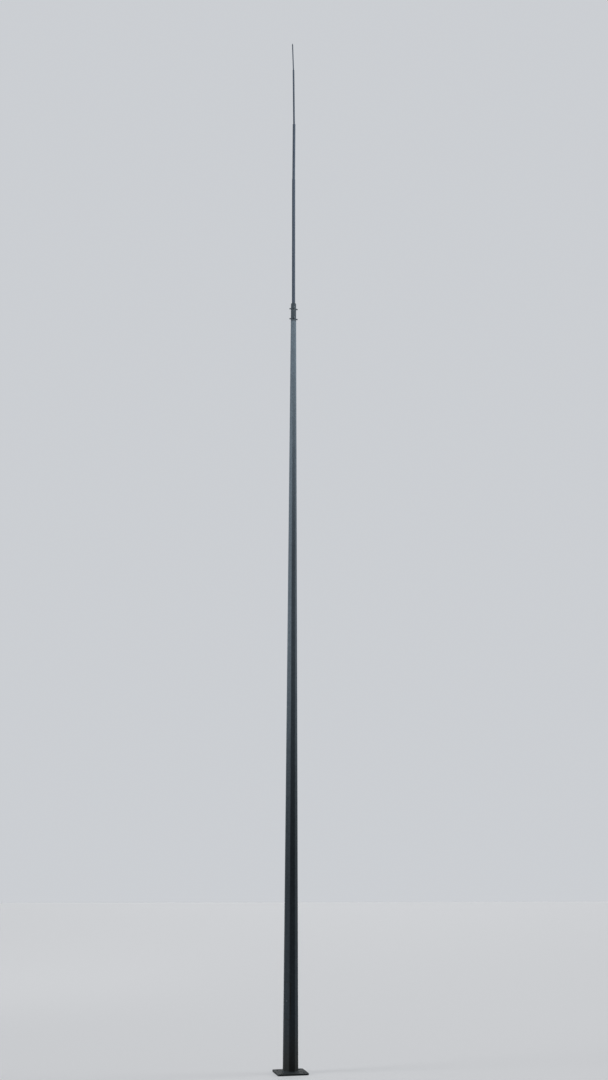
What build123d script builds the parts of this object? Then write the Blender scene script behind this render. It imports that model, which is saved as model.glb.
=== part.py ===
from build123d import *
import os
from math import atan, cos, degrees, radians, sin

os.makedirs("parts", exist_ok=True)

# Lightning rod mast: a folded octagonal steel pole on a bolted base flange, with a stepped
# tubular receiver clamped in its head by two rings of set bolts.
# Millimetres, +Z up, the origin at the middle of the flange's underside.

# Base flange
flange_side = 320.0
flange_thickness = 16.0
flange_corner = 25.0
anchor_spacing = 230.0
anchor_hole = 28.0
duct_hole = 100.0
base_weld_leg = 8.0

# Pole, folded from plate: heights are measured from the flange's underside
pole_height = 9000.0
foot_flats = 150.0
wall = 4.0
bend_radius = 15.0
facets = 8

# Service hatch: an opening across one facet and the folds beside it, with its own cut-out as lid
hatch_turn = 225.0
hatch_sill = 500.0
hatch_height = 350.0
hatch_width = 75.0
hatch_corner = 20.0
hatch_gap = 1.5
frame_lip = 8.0
frame_margin = 12.0
frame_thickness = 3.0
strap_height = 30.0
strap_corner = 4.0
strap_thickness = 5.0
lock_diameter = 8.0
lock_fit = 0.1
lock_hole = 9.0
lock_head = 18.0
lock_head_height = 5.0
lock_head_bevel = 1.0
lock_key = 5.0
lock_key_depth = 3.5
lock_end = 4.0

# Earth lug, welded edge-on to the rear facet
lug_turn = 90.0
lug_level = 150.0
lug_height = 50.0
lug_reach = 45.0
lug_thickness = 6.0
lug_corner = 12.0
lug_hole = 13.0
lug_edge = 20.0

# Set bolts with welded nuts, in two rings of four
upper_ring = 75.0
lower_ring = 225.0
bolt_diameter = 10.0
bolt_length = 25.0
bolt_head_height = 6.4
bolt_head_flats = 16.0
nut_height = 8.4
nut_flats = 16.0
nut_bore = 10.2
bolt_hole = 11.0
seat_gap = 0.3
clamp_turns = {"front": 270.0, "right": 0.0, "back": 90.0, "left": 180.0}

# Head ring, welded in the pole's mouth round the receiver
ring_thickness = 6.0
ring_recess = 2.0
ring_play = 0.3
ring_width = 6.0
ring_clearance = 0.6

# Receiver: three tubes and a rod, each one set in the mouth of the one below
rod_diameter = 16.0
rod_play = 1.3
upper_wall = 3.2
upper_diameter = rod_diameter + 2 * (rod_play + upper_wall)
middle_diameter = 38.0
middle_wall = 3.0
middle_play = 0.6
lower_wall = 2.0
lower_diameter = middle_diameter + 2 * (middle_play + lower_wall)
lower_insert = 350.0
lower_reach = 1970.0
middle_insert = 120.0
middle_reach = 940.0
upper_insert = 80.0
upper_reach = 960.0
rod_insert = 60.0
rod_reach = 490.0
rod_point = 24.0
rod_point_radius = 2.5

# Bush that brings the middle tube's mouth down to the upper tube, with a sloping shoulder
bush_length = 90.0
bush_play = 0.2
bush_collar = 6.0
bush_shoulder = 7.0
bush_lip = 1.5

# Weld rings at the receiver's mouths, on the inner pieces, with a narrow land like the foot's weld
mouth_weld_height = 4.0
weld_land = 1.0
weld_rise = 0.3

# Leans of the receiver's pieces off upright, in degrees towards +X
lower_lean = -0.15
middle_lean = 0.16
upper_lean = -0.67
rod_lean = -1.85

# The pole's head, 65 mm across flats, has room for the receiver and the ring round it
head_flats = lower_diameter + 2 * (ring_clearance + ring_width + ring_play + wall)
slope = (foot_flats - head_flats) / 2 / (pole_height - flange_thickness)
fold_turn = 360.0 / facets / 2


def apothem(height):
    """Distance from the pole's axis to its outside flats at a height."""
    return foot_flats / 2 - slope * (height - flange_thickness)


def tapered_octagon(inset, low=flange_thickness, high=pole_height):
    """The pole's solid form, moved in from its outside by inset, between two heights."""
    with BuildPart() as form:
        with BuildSketch(Plane.XY.offset(low)):
            RegularPolygon(apothem(low) - inset, facets, major_radius=False, rotation=fold_turn)
        extrude(amount=high - low, taper=degrees(atan(slope)))
        folds = form.edges().filter_by(lambda edge: abs(edge.tangent_at(0.5).Z) > 0.9)
        fillet(folds, bend_radius - inset)
    return form.part


def facet_plane(height, turn):
    """Plane on the outside of the facet that faces turn, its normal square to the sloping plate."""
    across = cos(radians(turn))
    along = sin(radians(turn))
    middle = (across * apothem(height), along * apothem(height), height)
    return Plane(origin=middle, x_dir=(-along, across, 0), z_dir=(across, along, slope))


def hatch_block(width, height, corner):
    """A block with rounded corners through the hatch's side of the pole, centred on the hatch."""
    across = cos(radians(hatch_turn))
    along = sin(radians(hatch_turn))
    middle = Plane(origin=(0, 0, hatch_middle), x_dir=(-along, across, 0), z_dir=(across, along, 0))
    with BuildPart() as block:
        with BuildSketch(middle):
            RectangleRounded(width, height, corner)
        extrude(amount=foot_flats)
    return block.part


def leaning_plane(start, lean):
    """Plane across a receiver piece at start, its normal leaning towards +X by lean degrees."""
    tilt = radians(lean)
    return Plane(origin=start, x_dir=(cos(tilt), 0, -sin(tilt)), z_dir=(sin(tilt), 0, cos(tilt)))


# The hatch's middle, and the plane on its facet there
hatch_middle = hatch_sill + hatch_height / 2
lock_plane = facet_plane(hatch_middle, hatch_turn)

# The receiver's axes: each piece leans about the middle of its own seat
clamp_middle = (upper_ring + lower_ring) / 2
lower_axis = leaning_plane((0, 0, pole_height - clamp_middle), lower_lean)
lower_mouth = lower_axis.offset(clamp_middle + lower_reach)
middle_axis = leaning_plane(lower_mouth.offset(-middle_insert / 2).origin, middle_lean)
middle_mouth = middle_axis.offset(middle_insert / 2 + middle_reach)
bush_top = middle_mouth.offset(bush_collar + bush_shoulder)
upper_axis = leaning_plane(bush_top.offset(-upper_insert / 2).origin, upper_lean)
upper_mouth = upper_axis.offset(upper_insert / 2 + upper_reach)
rod_axis = leaning_plane(upper_mouth.offset(-rod_insert / 2).origin, rod_lean)

# The pole's forms: its outside, its inside, and the inside of the hatch frame
outside = tapered_octagon(0)
inside = tapered_octagon(wall)
frame_inside = tapered_octagon(wall + frame_thickness)

# Base flange: a square plate with four anchor holes and the duct hole
with BuildPart() as base_flange:
    with BuildSketch():
        RectangleRounded(flange_side, flange_side, flange_corner)
        with GridLocations(anchor_spacing, anchor_spacing, 2, 2):
            Circle(anchor_hole / 2, mode=Mode.SUBTRACT)
        Circle(duct_hole / 2, mode=Mode.SUBTRACT)
    extrude(amount=flange_thickness)
base_flange.part.label = "base_flange"
export_step(base_flange.part, "parts/base_flange.step")

# Fillet weld all round the pole's foot
with BuildPart() as base_weld:
    with BuildSketch(Plane.XY.offset(flange_thickness)) as weld_foot:
        RegularPolygon(foot_flats / 2 + base_weld_leg, facets, major_radius=False, rotation=fold_turn)
        fillet(weld_foot.vertices(), bend_radius + base_weld_leg)
    extrude(amount=base_weld_leg - weld_land, taper=45)
    add(outside, mode=Mode.SUBTRACT)
base_weld.part.label = "base_weld"
export_step(base_weld.part, "parts/base_weld.step")

# Pole: the folded plate, open at both ends, with the hatch opening and the set bolts' holes
with BuildPart() as pole_shaft:
    add(outside)
    add(inside, mode=Mode.SUBTRACT)
    add(hatch_block(hatch_width, hatch_height, hatch_corner), mode=Mode.SUBTRACT)
    for drop in (upper_ring, lower_ring):
        for turn in clamp_turns.values():
            with BuildSketch(facet_plane(pole_height - drop, turn)):
                Circle(bolt_hole / 2)
            extrude(amount=-2 * wall, mode=Mode.SUBTRACT)
pole_shaft.part.label = "pole_shaft"
export_step(pole_shaft.part, "parts/pole_shaft.step")

# Hatch frame: a band inside the plate that stiffens the opening, its lip carrying the lid
with BuildPart() as hatch_frame:
    add(inside)
    add(frame_inside, mode=Mode.SUBTRACT)
    add(
        hatch_block(
            hatch_width + 2 * frame_margin,
            hatch_height + 2 * frame_margin,
            hatch_corner + frame_margin,
        ),
        mode=Mode.INTERSECT,
    )
    add(
        hatch_block(
            hatch_width - 2 * frame_lip,
            hatch_height - 2 * frame_lip,
            hatch_corner - frame_lip,
        ),
        mode=Mode.SUBTRACT,
    )
hatch_frame.part.label = "hatch_frame"
export_step(hatch_frame.part, "parts/hatch_frame.step")

# Hatch lid: the piece cut from the plate, smaller by the gap all round, with the lock's hole
with BuildPart() as hatch_lid:
    add(outside)
    add(inside, mode=Mode.SUBTRACT)
    add(
        hatch_block(
            hatch_width - 2 * hatch_gap,
            hatch_height - 2 * hatch_gap,
            hatch_corner - hatch_gap,
        ),
        mode=Mode.INTERSECT,
    )
    with BuildSketch(lock_plane):
        Circle(lock_hole / 2)
    extrude(amount=-2 * wall, mode=Mode.SUBTRACT)
hatch_lid.part.label = "hatch_lid"
export_step(hatch_lid.part, "parts/hatch_lid.step")

# Clamp strap behind the frame, bent like it, that the lock screw pulls against the lips
with BuildPart() as hatch_strap:
    add(frame_inside)
    add(tapered_octagon(wall + frame_thickness + strap_thickness), mode=Mode.SUBTRACT)
    add(hatch_block(hatch_width, strap_height, strap_corner), mode=Mode.INTERSECT)
    with BuildSketch(lock_plane):
        Circle(lock_diameter / 2 + lock_fit)
    extrude(amount=-foot_flats / 2, mode=Mode.SUBTRACT)
hatch_strap.part.label = "hatch_strap"
export_step(hatch_strap.part, "parts/hatch_strap.step")

# Lock screw: a round head with a three-sided key hole, screwed into the strap
with BuildPart() as hatch_lock_screw:
    with BuildSketch(lock_plane):
        Circle(lock_head / 2)
    extrude(amount=lock_head_height)
    head_face = hatch_lock_screw.faces().sort_by(Axis(lock_plane.origin, lock_plane.z_dir))[-1]
    chamfer(head_face.edges(), lock_head_bevel)
    with BuildSketch(lock_plane.offset(lock_head_height)):
        RegularPolygon(lock_key, 3)
    extrude(amount=-lock_key_depth, mode=Mode.SUBTRACT)
    with BuildSketch(lock_plane):
        Circle(lock_diameter / 2)
    extrude(amount=-(wall + frame_thickness + strap_thickness + lock_end))
hatch_lock_screw.part.label = "hatch_lock_screw"
export_step(hatch_lock_screw.part, "parts/hatch_lock_screw.step")

# Earth lug: a plate that stands out from the rear facet, with one hole for the earth conductor
lug_facet = facet_plane(lug_level, lug_turn)
with BuildPart() as earth_lug:
    with BuildSketch(Plane(lug_facet.origin, lug_facet.z_dir, lug_facet.x_dir)) as lug_outline:
        Rectangle(lug_reach, lug_height, align=(Align.MIN, Align.CENTER))
        fillet(lug_outline.vertices().group_by(Axis.X)[-1], lug_corner)
        with Locations((lug_reach - lug_edge, 0)):
            Circle(lug_hole / 2, mode=Mode.SUBTRACT)
    extrude(amount=lug_thickness / 2, both=True)
earth_lug.part.label = "earth_lug"
export_step(earth_lug.part, "parts/earth_lug.step")

# Set bolts and their welded nuts: each bolt's end stands against the receiver's lower tube
for level, drop in {"upper": upper_ring, "lower": lower_ring}.items():
    for side, turn in clamp_turns.items():
        facet = facet_plane(pole_height - drop, turn)
        bolt_end = facet.offset(lower_diameter / 2 + seat_gap - apothem(pole_height - drop))

        with BuildPart() as clamp_nut:
            with BuildSketch(facet):
                RegularPolygon(nut_flats / 2, 6, major_radius=False)
                Circle(nut_bore / 2, mode=Mode.SUBTRACT)
            extrude(amount=nut_height)
        clamp_nut.part.label = f"clamp_nut_{level}_{side}"
        export_step(clamp_nut.part, f"parts/clamp_nut_{level}_{side}.step")

        with BuildPart() as clamp_bolt:
            with BuildSketch(bolt_end):
                Circle(bolt_diameter / 2)
            extrude(amount=bolt_length)
            with BuildSketch(bolt_end.offset(bolt_length)):
                RegularPolygon(bolt_head_flats / 2, 6, major_radius=False)
            extrude(amount=bolt_head_height)
        clamp_bolt.part.label = f"clamp_bolt_{level}_{side}"
        export_step(clamp_bolt.part, f"parts/clamp_bolt_{level}_{side}.step")

# Head ring: an octagonal plate in the pole's mouth, bored for the receiver
ring_top = pole_height - ring_recess
with BuildPart() as head_ring:
    add(tapered_octagon(wall + ring_play, ring_top - ring_thickness, ring_top))
    with BuildSketch(lower_axis):
        Circle(lower_diameter / 2 + ring_clearance)
    extrude(amount=clamp_middle, mode=Mode.SUBTRACT)
head_ring.part.label = "head_ring"
export_step(head_ring.part, "parts/head_ring.step")

# Receiver's lower tube, held in the pole's head by the set bolts
with BuildPart() as receiver_tube_lower:
    with BuildSketch(lower_mouth.offset(-lower_reach - lower_insert)):
        Circle(lower_diameter / 2)
        Circle(lower_diameter / 2 - lower_wall, mode=Mode.SUBTRACT)
    extrude(amount=lower_insert + lower_reach)
receiver_tube_lower.part.label = "receiver_tube_lower"
export_step(receiver_tube_lower.part, "parts/receiver_tube_lower.step")

# Receiver's middle tube, with the weld ring that closes the lower tube's mouth round it
with BuildPart() as receiver_tube_middle:
    with BuildSketch(middle_axis.offset(-middle_insert / 2)):
        Circle(middle_diameter / 2)
    extrude(amount=middle_insert + middle_reach)
    with Locations(middle_axis.offset(middle_insert / 2 + weld_rise)):
        Cone(
            bottom_radius=lower_diameter / 2,
            top_radius=middle_diameter / 2 + weld_land,
            height=mouth_weld_height,
            align=(Align.CENTER, Align.CENTER, Align.MIN),
        )
    with BuildSketch(middle_axis.offset(-middle_insert / 2)):
        Circle(middle_diameter / 2 - middle_wall)
    extrude(amount=middle_insert + middle_reach, mode=Mode.SUBTRACT)
receiver_tube_middle.part.label = "receiver_tube_middle"
export_step(receiver_tube_middle.part, "parts/receiver_tube_middle.step")

# Reducer bush: a sleeve in the middle tube's mouth, a collar on its edge and a sloping shoulder
with BuildPart() as reducer_bush:
    with BuildSketch(middle_mouth):
        Circle(middle_diameter / 2 - middle_wall - bush_play)
    extrude(amount=-bush_length)
    with BuildSketch(middle_mouth):
        Circle(middle_diameter / 2)
    extrude(amount=bush_collar)
    with Locations(middle_mouth.offset(bush_collar)):
        Cone(
            bottom_radius=middle_diameter / 2,
            top_radius=upper_diameter / 2 + bush_play + bush_lip,
            height=bush_shoulder,
            align=(Align.CENTER, Align.CENTER, Align.MIN),
        )
    with BuildSketch(upper_axis):
        Circle(upper_diameter / 2 + bush_play)
    extrude(amount=bush_length, both=True, mode=Mode.SUBTRACT)
reducer_bush.part.label = "reducer_bush"
export_step(reducer_bush.part, "parts/reducer_bush.step")

# Receiver's upper tube
with BuildPart() as receiver_tube_upper:
    with BuildSketch(upper_axis.offset(-upper_insert / 2)):
        Circle(upper_diameter / 2)
        Circle(upper_diameter / 2 - upper_wall, mode=Mode.SUBTRACT)
    extrude(amount=upper_insert + upper_reach)
receiver_tube_upper.part.label = "receiver_tube_upper"
export_step(receiver_tube_upper.part, "parts/receiver_tube_upper.step")

# Tip rod: a solid round bar with a blunt rounded point, and the weld ring at the upper tube's mouth
rod_foot = rod_axis.offset(-rod_insert / 2)
rod_length = rod_insert + rod_reach
rod_weld_foot = rod_insert + weld_rise
rod_weld_top = rod_weld_foot + mouth_weld_height
with BuildPart() as tip_rod:
    with BuildSketch(Plane(rod_foot.origin, rod_foot.x_dir, -rod_foot.y_dir)):
        with BuildLine():
            Polyline(
                (0, rod_length),
                (0, 0),
                (rod_diameter / 2, 0),
                (rod_diameter / 2, rod_weld_foot),
                (upper_diameter / 2, rod_weld_foot),
                (rod_diameter / 2 + weld_land, rod_weld_top),
                (rod_diameter / 2, rod_weld_top),
                (rod_diameter / 2, rod_length - rod_point),
                (rod_point_radius, rod_length - rod_point_radius),
            )
            RadiusArc((rod_point_radius, rod_length - rod_point_radius), (0, rod_length), -rod_point_radius)
        make_face()
    revolve(axis=Axis(rod_foot.origin, rod_foot.z_dir))
tip_rod.part.label = "tip_rod"
export_step(tip_rod.part, "parts/tip_rod.step")
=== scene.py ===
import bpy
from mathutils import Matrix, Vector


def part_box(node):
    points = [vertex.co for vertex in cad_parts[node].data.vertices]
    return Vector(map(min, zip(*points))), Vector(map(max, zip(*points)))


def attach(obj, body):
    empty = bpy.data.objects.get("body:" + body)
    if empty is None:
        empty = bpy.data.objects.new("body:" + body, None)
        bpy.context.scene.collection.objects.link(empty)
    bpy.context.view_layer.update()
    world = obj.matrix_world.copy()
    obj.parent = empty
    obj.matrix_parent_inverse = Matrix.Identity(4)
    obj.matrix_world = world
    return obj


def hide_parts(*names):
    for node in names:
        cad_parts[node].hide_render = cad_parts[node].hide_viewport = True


bl_info = {
    "name": "Lightning Rod Mast",
    "version": (1, 0, 0),
    "blender": (4, 5, 0),
    "location": "3D View > Sidebar > Mast",
    "description": "Dresses the packed mast with galvanised finishes, weld beads, bolts and nuts",
    "category": "Object",
}

from math import cos, pi, radians, sin, tan

import bpy
import numpy as np
from bpy.props import FloatProperty, FloatVectorProperty, IntProperty, PointerProperty

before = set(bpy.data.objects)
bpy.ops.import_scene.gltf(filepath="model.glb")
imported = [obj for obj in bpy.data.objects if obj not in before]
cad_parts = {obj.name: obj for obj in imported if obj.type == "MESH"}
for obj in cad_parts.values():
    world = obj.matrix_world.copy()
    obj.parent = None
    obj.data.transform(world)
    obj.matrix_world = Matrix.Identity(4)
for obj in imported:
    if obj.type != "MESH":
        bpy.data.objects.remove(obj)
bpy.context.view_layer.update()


def node_points(name):
    """All vertices of a CAD node as an array."""
    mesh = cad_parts[name].data
    points = np.empty(len(mesh.vertices) * 3)
    mesh.vertices.foreach_get("co", points)
    return points.reshape(-1, 3)


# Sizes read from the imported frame, in metres
MILLIMETRE = 0.001
pole_low, pole_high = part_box("pole_shaft")
FOOT_LEVEL = pole_low.z
HEAD_LEVEL = pole_high.z
FOOT_APOTHEM = (pole_high.x - pole_low.x) / 2
pole_points = node_points("pole_shaft")
HEAD_APOTHEM = pole_points[pole_points[:, 2] > HEAD_LEVEL - MILLIMETRE, 0].max()
SLOPE = (FOOT_APOTHEM - HEAD_APOTHEM) / (HEAD_LEVEL - FOOT_LEVEL)

# The folded plate and its facets, by the way that each faces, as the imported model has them
WALL = 0.004
BEND_RADIUS = 0.015
FACETS = 8
HATCH_TURN = 225.0
LUG_TURN = 90.0
SEAM_TURN = 45.0

# The set bolts: the ways that they face, and how far each ring is below the head
CLAMP_TURNS = {"front": 270.0, "right": 0.0, "back": 90.0, "left": 180.0}
RING_DROPS = {"upper": 0.075, "lower": 0.225}


def length_property(title, use, default, least):
    """A length property with its title, its use, its default and its least value."""
    return FloatProperty(name=title, description=use, default=default, min=least, unit="LENGTH")


def angle_property(title, use, default):
    """An angle property with its title, its use and its default in degrees."""
    return FloatProperty(name=title, description=use, default=radians(default), subtype="ANGLE")


def colour_property(title, use, default):
    """A colour property with its title, its use and its default."""
    return FloatVectorProperty(
        name=title, description=use, default=default, min=0.0, max=1.0, size=3, subtype="COLOR",
    )


class MastSizes(bpy.types.PropertyGroup):
    """Sizes of the details that the scene adds to the mast, and the camera's place."""

    foot_leg: length_property(
        "Foot weld leg", "Leg of the fillet weld round the pole's foot", 0.0078, 0.002)
    nut_leg: length_property("Nut weld leg", "Leg of the weld round each nut", 0.0022, 0.001)
    lug_leg: length_property(
        "Lug weld leg", "Leg of the weld round the earth lug's root", 0.0042, 0.001)
    ripple_pitch: length_property(
        "Ripple pitch", "Distance between the ripples of a weld bead", 0.0026, 0.001)
    seam_width: length_property(
        "Seam width", "Width of the pole's lengthwise seam", 0.008, 0.002)
    seam_rise: length_property(
        "Seam rise", "Height of the lengthwise seam over the plate", 0.0009, 0.0002)
    thread_pitch: length_property(
        "Thread pitch", "Pitch of the set bolts' thread", 0.0015, 0.0005)
    thread_depth: length_property(
        "Thread depth", "Depth of the set bolts' thread", 0.0008, 0.0002)
    turns: IntProperty(
        name="Steps round", description="Steps round a bolt or nut, a multiple of six",
        default=48, min=12,
    )
    camera_distance: length_property(
        "Camera distance", "Level distance from the mast to the camera", 11.35, 1.0)
    camera_height: length_property(
        "Camera height", "Camera's height over the flange's underside", 1.75, 0.0)
    camera_side: angle_property(
        "Camera side", "Camera's place round the mast, from the front towards -X", 12.0)
    camera_turn: angle_property(
        "Camera turn", "Turn that sets the mast left of the picture's middle", 0.6915)
    camera_pitch: angle_property("Camera pitch", "How far the camera looks up", 19.3)


class MastFinish(bpy.types.PropertyGroup):
    """Colours and finishes of the mast and its stage."""

    pole_colour: colour_property(
        "Pole zinc", "Dull hot-dip zinc of the folded pole", (0.094, 0.120, 0.143))
    # The flange's zinc colour is darkened by painted shade, to go with the painted shade towards
    # the pole's foot
    flange_colour_with_painted_shade: colour_property(
        "Flange zinc", "Zinc of the thick base plate", (0.066, 0.081, 0.093))
    hatch_colour: colour_property(
        "Hatch zinc", "Zinc of the hatch lid", (0.092, 0.117, 0.139))
    receiver_colour: colour_property(
        "Receiver zinc", "Darker zinc of the receiver's tubes", (0.047, 0.060, 0.079))
    fastener_colour: colour_property(
        "Fastener zinc", "Zinc of the bolts and nuts", (0.078, 0.096, 0.112))
    weld_colour: colour_property(
        "Weld zinc", "Zinc over the weld beads", (0.072, 0.090, 0.108))
    soil_colour: colour_property(
        "Soil", "Dried soil splashed on the foot", (0.040, 0.037, 0.030))
    bloom_colour: colour_property(
        "White bloom", "Chalky bloom that weather brings out of zinc", (0.190, 0.215, 0.225))
    floor_colour: colour_property(
        "Floor", "Pale plain floor", (0.36, 0.36, 0.36))
    background_colour: colour_property(
        "Background", "Plain background", (0.60, 0.62, 0.65))
    metallic: FloatProperty(
        name="Metallic", description="How far the zinc shows as bare metal", default=0.20,
        min=0.0, max=1.0, subtype="FACTOR",
    )
    sky_light: FloatProperty(
        name="Sky light", description="Strength of the even light from all round", default=0.10,
        min=0.0,
    )


def apothem(height):
    """Distance from the pole's axis to its outside flats at a height."""
    return FOOT_APOTHEM - SLOPE * (height - FOOT_LEVEL)


def facet_ways(turn):
    """Level directions straight out of the facet that faces turn, and along it."""
    out = np.array([cos(radians(turn)), sin(radians(turn)), 0.0])
    return out, np.array([-out[1], out[0], 0.0])


def facet_frame(height, turn):
    """Origin, side, up and normal directions on the facet that faces turn, at a height."""
    out, side = facet_ways(turn)
    origin = out * apothem(height) + (0.0, 0.0, height)
    normal = out + (0.0, 0.0, SLOPE)
    normal /= np.linalg.norm(normal)
    return origin, side, np.cross(normal, side), normal


def clamps():
    """Each clamp's name, its height and the way that its facet faces."""
    for level, drop in RING_DROPS.items():
        for side, turn in CLAMP_TURNS.items():
            yield f"{level}_{side}", HEAD_LEVEL - drop, turn


def shifted(base, distance):
    """A frame moved along its own normal."""
    origin, side, up, normal = base
    return origin + normal * distance, side, up, normal


def axis_frame(origin, axis):
    """A frame whose normal is axis, with its side as near to +X as it can be."""
    normal = axis / np.linalg.norm(axis)
    side = np.array([1.0, 0.0, 0.0]) - normal * normal[0]
    side /= np.linalg.norm(side)
    return origin, side, np.cross(normal, side), normal


def level_frame(height):
    """A frame on the mast's axis at a height, facing up."""
    return axis_frame(np.array([0.0, 0.0, height]), np.array([0.0, 0.0, 1.0]))


def straight_tube(name):
    """Middles of a long round node's lower and upper ends, its direction, and its radius.

    Each end's middle is the middle of the box of the points within half a millimetre of that
    end along the axis. The axis starts upright and is set anew from the two middles until it
    has settled. The receiver's pieces lean in the XZ plane, so the radius is half the lower
    end's width along Y."""
    settling_steps = 6
    end_depth = 0.0005
    points = node_points(name)
    axis = np.array([0.0, 0.0, 1.0])
    for _ in range(settling_steps):
        axis /= np.linalg.norm(axis)
        along = points @ axis
        low = points[along < along.min() + end_depth]
        high = points[along > along.max() - end_depth]
        foot = (low.min(0) + low.max(0)) / 2
        head = (high.min(0) + high.max(0)) / 2
        axis = head - foot
    return foot, head, axis / np.linalg.norm(axis), np.ptp(low[:, 1]) / 2


def rounded_path(corners, radius, count):
    """Closed flat path round a convex outline, as points and outward directions.

    Each corner of the outline carries an arc of the given radius, which turns from the normal of
    the edge before it to the normal of the edge after it. The arcs are joined by straight runs,
    and the whole is divided into count equal steps."""
    corners = np.asarray(corners, float)
    after = np.roll(corners, -1, axis=0) - corners
    facing = np.arctan2(-after[:, 0], after[:, 1])
    before = np.roll(facing, 1)
    sweep = np.mod(facing - before + pi, 2 * pi) - pi
    arc_points = 9
    angles = before[:, None] + sweep[:, None] * np.linspace(0.0, 1.0, arc_points)
    turned = np.stack([np.cos(angles), np.sin(angles)], axis=2)
    arcs = corners[:, None, :] + radius * turned
    path = np.vstack([arcs.reshape(-1, 2), arcs[0, :1]])
    outward = np.vstack([turned.reshape(-1, 2), turned[0, :1]])
    lengths = np.concatenate([[0.0], np.cumsum(np.linalg.norm(np.diff(path, axis=0), axis=1))])
    places = np.linspace(0.0, lengths[-1], count, endpoint=False)
    points = np.stack([np.interp(places, lengths, path[:, k]) for k in (0, 1)], axis=1)
    ways = np.stack([np.interp(places, lengths, outward[:, k]) for k in (0, 1)], axis=1)
    ways /= np.linalg.norm(ways, axis=1)[:, None]
    return points, ways, places


def full_turn(count):
    """Angles of count equal steps round a circle."""
    return np.linspace(0.0, 2 * pi, count, endpoint=False)


def polygon_corners(sides, inner, turn=0.0):
    """Corners of a regular polygon from its distance to the flats."""
    angles = full_turn(sides) + turn
    reach = inner / cos(pi / sides)
    return np.stack([reach * np.cos(angles), reach * np.sin(angles)], axis=1)


def placed(points, heights, base):
    """Flat points and heights set in a frame: origin + side x + up y + normal h."""
    origin, side, up, normal = base
    return origin + points[..., :1] * side + points[..., 1:] * up + heights[..., None] * normal


def unevenness(places, length, seed):
    """A slow wave of size about one along a weld: three sines whose lengths don't divide."""
    wave_lengths = np.array([0.031, 0.053, 0.117])
    shares = np.array([0.5, 0.3, 0.2])
    phases = np.random.default_rng(seed).uniform(0, 2 * pi, len(shares))
    turns = np.maximum(1, np.round(length / wave_lengths))
    waves = np.sin(2 * pi * places[:, None] / length * turns + phases)
    return waves @ shares


def bead_section(leg_out, leg_up, bulge, places, pitch, length, seed):
    """Section of a weld bead at every place along it: outward and upward distances.

    With v from 0 at the toe on the plate to 1 at the toe on the wall, the face is the straight
    line between the toes plus bulge sin(pi v) square to it. A ripple
    |sin(pi (place / pitch - crescent (1 - (2 v - 1)^2)))| lifts it in crescents, and a slow wave
    makes the legs uneven. The last two points close the section behind the face."""
    face_points = 9
    crescent = 0.35
    middle_ripple = 0.6
    ripple_share = 0.45
    wave_share = 0.07
    sink = 0.0003
    across = np.linspace(0.0, 1.0, face_points)
    count = max(1, round(length / pitch))
    phase = places[:, None] / length * count - crescent * (1 - (2 * across - 1) ** 2)
    ripple = np.abs(np.sin(pi * phase)) - middle_ripple
    wave = 1 + wave_share * unevenness(places, length, seed)[:, None]
    face = bulge * np.sin(pi * across) * (1 + ripple_share * ripple)
    long_side = np.hypot(leg_out, leg_up)
    out = leg_out * (1 - across) * wave + face * leg_up / long_side
    rise = leg_up * across * wave + face * leg_out / long_side
    behind = np.full((len(places), 1), -sink)
    out = np.hstack([out, behind, out[:, :1] / 2])
    rise = np.hstack([rise, behind, behind])
    rise[:, 0] = -sink / 2
    out[:, face_points - 1] = -sink / 2
    return out, rise


def grid_faces(rows, columns, close_rows):
    """Four-sided faces of a grid of points whose rows are rings, the last joined to the first
    if asked."""
    row = np.arange(rows if close_rows else rows - 1)
    row, column = (part.ravel() for part in np.meshgrid(row, np.arange(columns), indexing="ij"))
    next_row = (row + 1) % rows
    next_column = (column + 1) % columns
    return np.stack([
        row * columns + column, next_row * columns + column,
        next_row * columns + next_column, row * columns + next_column,
    ], axis=1)


def surface(points, capped=False):
    """Points and faces of a surface from a grid of points whose rows are rings.

    The last ring is joined to the first, or both are capped by fans of triangles. The faces are
    turned over if the volume that they enclose comes out negative."""
    rows, columns = points.shape[:2]
    flat = points.reshape(-1, 3)
    faces = grid_faces(rows, columns, close_rows=not capped).tolist()
    if capped:
        first = np.arange(columns)
        last = first + (rows - 1) * columns
        middles = [flat[first].mean(0), flat[last].mean(0)]
        for ring, middle, order in ((first, len(flat), 1), (last, len(flat) + 1, -1)):
            fan = [np.full(columns, middle), ring, np.roll(ring, -1)]
            faces += np.stack(fan[::order], axis=1).tolist()
        flat = np.vstack([flat, middles])
    triangles = [face[:3] for face in faces]
    triangles += [[face[0], face[2], face[3]] for face in faces if len(face) == 4]
    a, b, c = flat[np.array(triangles).T]
    centre = flat.mean(0)
    if np.einsum("ij,ij->", a - centre, np.cross(b - centre, c - centre)) < 0:
        faces = [face[::-1] for face in faces]
    return flat, faces


def add_object(name, data):
    """A new object in the scene for a mesh, a lamp or the camera."""
    thing = bpy.data.objects.new(name, data)
    bpy.context.scene.collection.objects.link(thing)
    return thing


def make_piece(name, shape, material, replaced=(), sharp=40.0):
    """A mesh object from a surface's points and faces, riding on the mast's one body."""
    points, faces = shape
    mesh = bpy.data.meshes.new(name)
    mesh.from_pydata(points.tolist(), [], faces)
    if mesh.validate():
        raise RuntimeError(f"the mesh of {name} has faults")
    mesh.shade_smooth()
    mesh.set_sharp_from_angle(angle=radians(sharp))
    mesh.materials.append(finish(material))
    piece = add_object(name, mesh)
    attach(piece, "root")
    if replaced:
        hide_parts(*replaced)


# Steps along a weld bead: for a first measure of its path, for each ripple, and at the least
MEASURE_STEPS = 64
RIPPLE_STEPS = 6
LEAST_STEPS = 72


def bead_steps(length, pitch):
    """Number of steps along a weld bead of a length."""
    return max(LEAST_STEPS, round(length / pitch) * RIPPLE_STEPS)


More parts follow.
